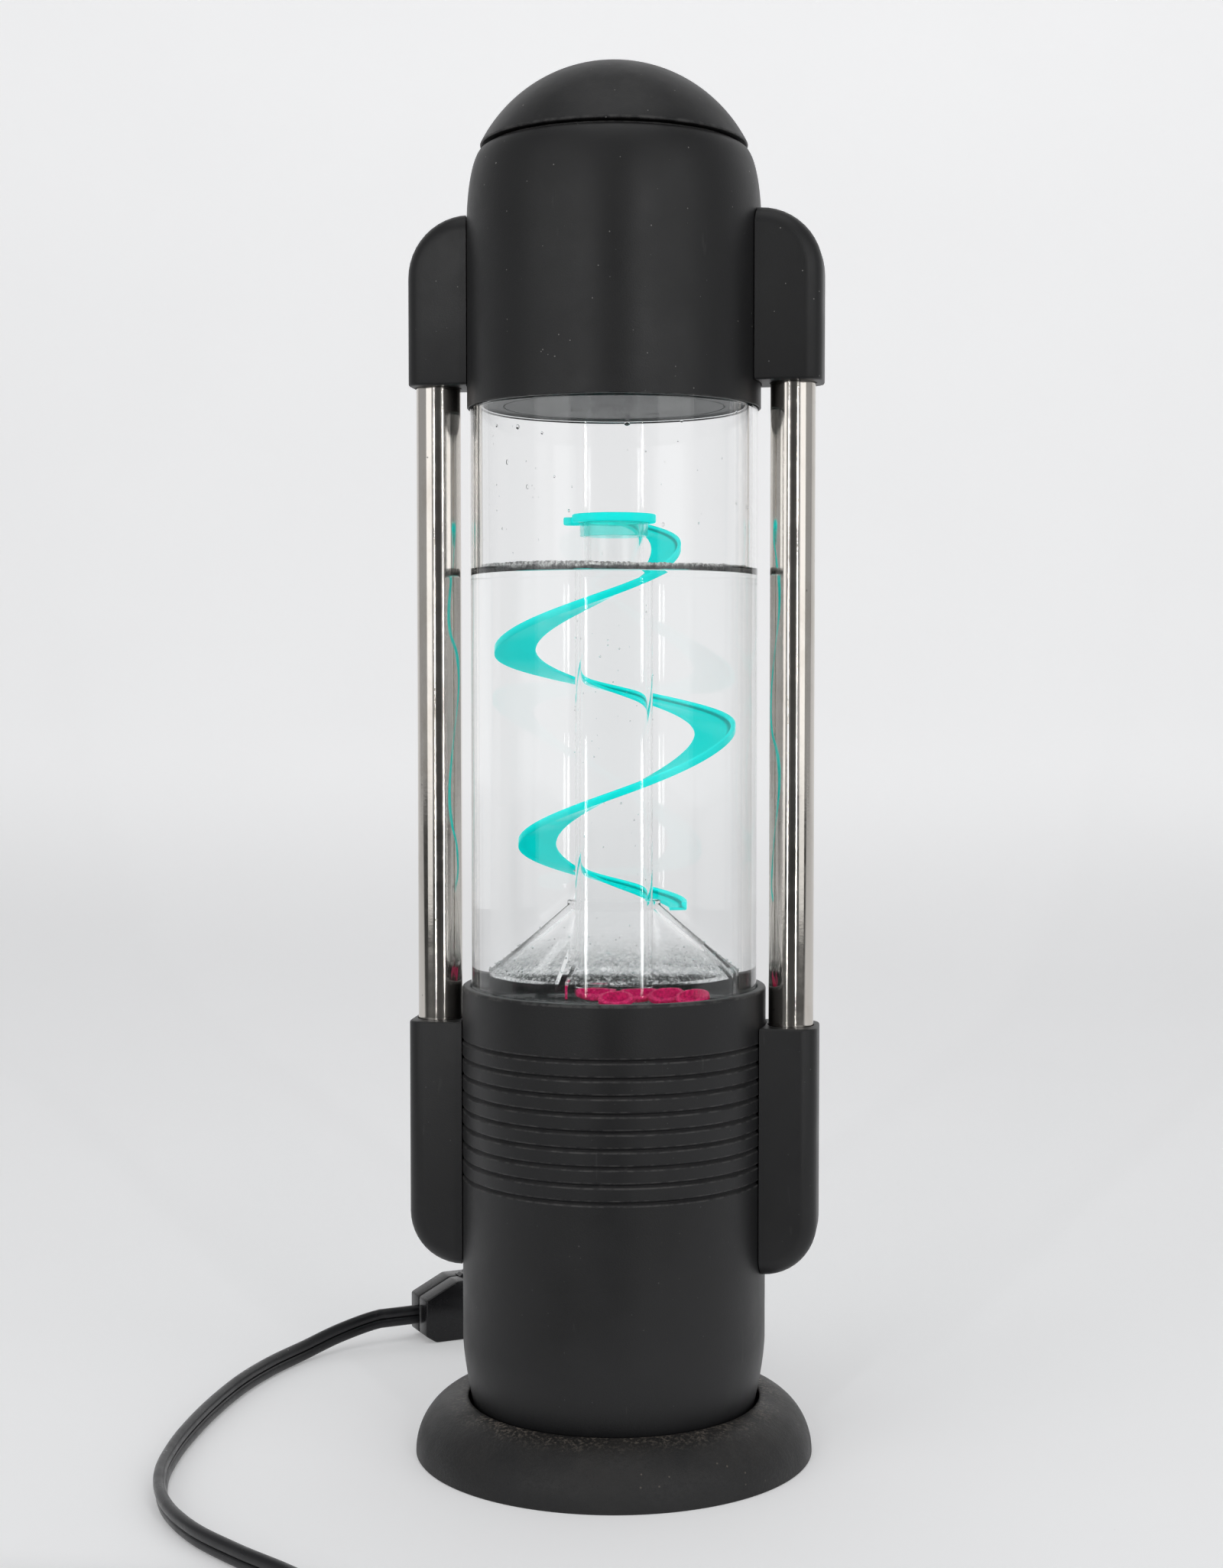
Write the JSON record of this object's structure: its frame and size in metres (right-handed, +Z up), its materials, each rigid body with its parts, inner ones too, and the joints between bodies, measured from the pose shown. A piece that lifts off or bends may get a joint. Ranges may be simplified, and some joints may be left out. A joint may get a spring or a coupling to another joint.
{
  "type": "water bubble lamp",
  "caption": "Tall water-filled bubble lamp: a clear tube with a spiral ramp between a ribbed pump base and a domed filler head, braced by steel side rods, with an in-line cord switch.",
  "frame": {"origin": "centre of the foot, on the surface the lamp stands on", "axes": "+Z up along the tank; the side rods stand on the X axis; the front of the lamp faces -Y and the cord leaves the foot at the back"},
  "size_m": [0.2145, 0.4112, 0.428],
  "materials": {
    "charcoal_plastic": "fine-textured moulded charcoal black",
    "foot_rubber": "matt black, dusty",
    "cord_black": "soft black vinyl",
    "polished_steel": "polished",
    "clear_acrylic": "clear, polished",
    "bulb_glass": "clear",
    "smoked_acrylic": "dark grey, smooth",
    "teal_acrylic": "translucent teal",
    "magenta_disc": "translucent magenta",
    "ferrite": "dark sintered",
    "motor_steel": "plain",
    "holder_ceramic": "unglazed",
    "plug_brass": "plain"
  },
  "bodies": {
    "lamp": {"action_disc_1": "magenta_disc", "action_disc_2": "magenta_disc", "action_disc_3": "magenta_disc", "action_disc_4": "magenta_disc", "action_disc_5": "magenta_disc", "base_plate": "charcoal_plastic", "base_screw_1": "polished_steel", "base_screw_2": "polished_steel", "base_screw_3": "polished_steel", "bracket_screw_1": "polished_steel", "bracket_screw_2": "polished_steel", "bracket_screw_3": "polished_steel", "bulb": "bulb_glass", "bulb_holder": "holder_ceramic", "cone_deck": "clear_acrylic", "cord_coil": "cord_black", "cord_gland": "foot_rubber", "cord_lead": "cord_black", "cord_run": "cord_black", "foot_ring": "foot_rubber", "impeller_pin": "polished_steel", "lower_housing": "charcoal_plastic", "lower_pod_left": "charcoal_plastic", "lower_pod_right": "charcoal_plastic", "lower_pod_screw_left": "polished_steel", "lower_pod_screw_right": "polished_steel", "lower_seal": "foot_rubber", "motor_body": "motor_steel", "motor_bracket": "polished_steel", "plug_blade_1": "plug_brass", "plug_blade_2": "plug_brass", "plug_body": "cord_black", "pump_cup": "clear_acrylic", "riser_tube": "clear_acrylic", "spiral_ramp": "teal_acrylic", "support_rod_left": "polished_steel", "support_rod_right": "polished_steel", "switch_screw_1": "polished_steel", "switch_screw_2": "polished_steel", "switch_shell_back": "cord_black", "switch_shell_front": "cord_black", "tank_floor": "clear_acrylic", "tank_tube": "clear_acrylic", "upper_housing": "charcoal_plastic", "upper_pod_left": "charcoal_plastic", "upper_pod_right": "charcoal_plastic", "upper_pod_screw_left": "polished_steel", "upper_pod_screw_right": "polished_steel", "upper_seal": "foot_rubber", "wheel_pin": "polished_steel"},
    "lid": {"dome_lid": "charcoal_plastic"},
    "cap": {"tank_cap": "smoked_acrylic"},
    "rotor": {"drive_magnet": "ferrite", "motor_shaft": "polished_steel"},
    "impeller": {"impeller": "charcoal_plastic"},
    "thumb_wheel": {"switch_wheel": "cord_black"}
  },
  "joints": [
    {"name": "lid_lift", "type": "slide", "parent": "lamp", "child": "lid", "axis": [0, 0, 1], "range_m": [0, 0.05]},
    {"name": "cap_lift", "type": "slide", "parent": "lamp", "child": "cap", "axis": [0, 0, 1], "range_m": [0, 0.05]},
    {"name": "motor_spin", "type": "hinge", "parent": "lamp", "child": "rotor", "pos_m": [0, 0, 0.11], "axis": [0, 0, 1], "continuous": true},
    {"name": "impeller_spin", "type": "hinge", "parent": "lamp", "child": "impeller", "pos_m": [0, 0, 0.125], "axis": [0, 0, 1], "continuous": true},
    {"name": "switch_wheel_turn", "type": "hinge", "parent": "lamp", "child": "thumb_wheel", "pos_m": [-0.0669, 0.122, 0.014], "axis": [0.5446, -0.8387, 0], "continuous": true}
  ],
  "couplings": [
    {"joint": "impeller_spin", "follows": "motor_spin", "ratio": 1}
  ]
}
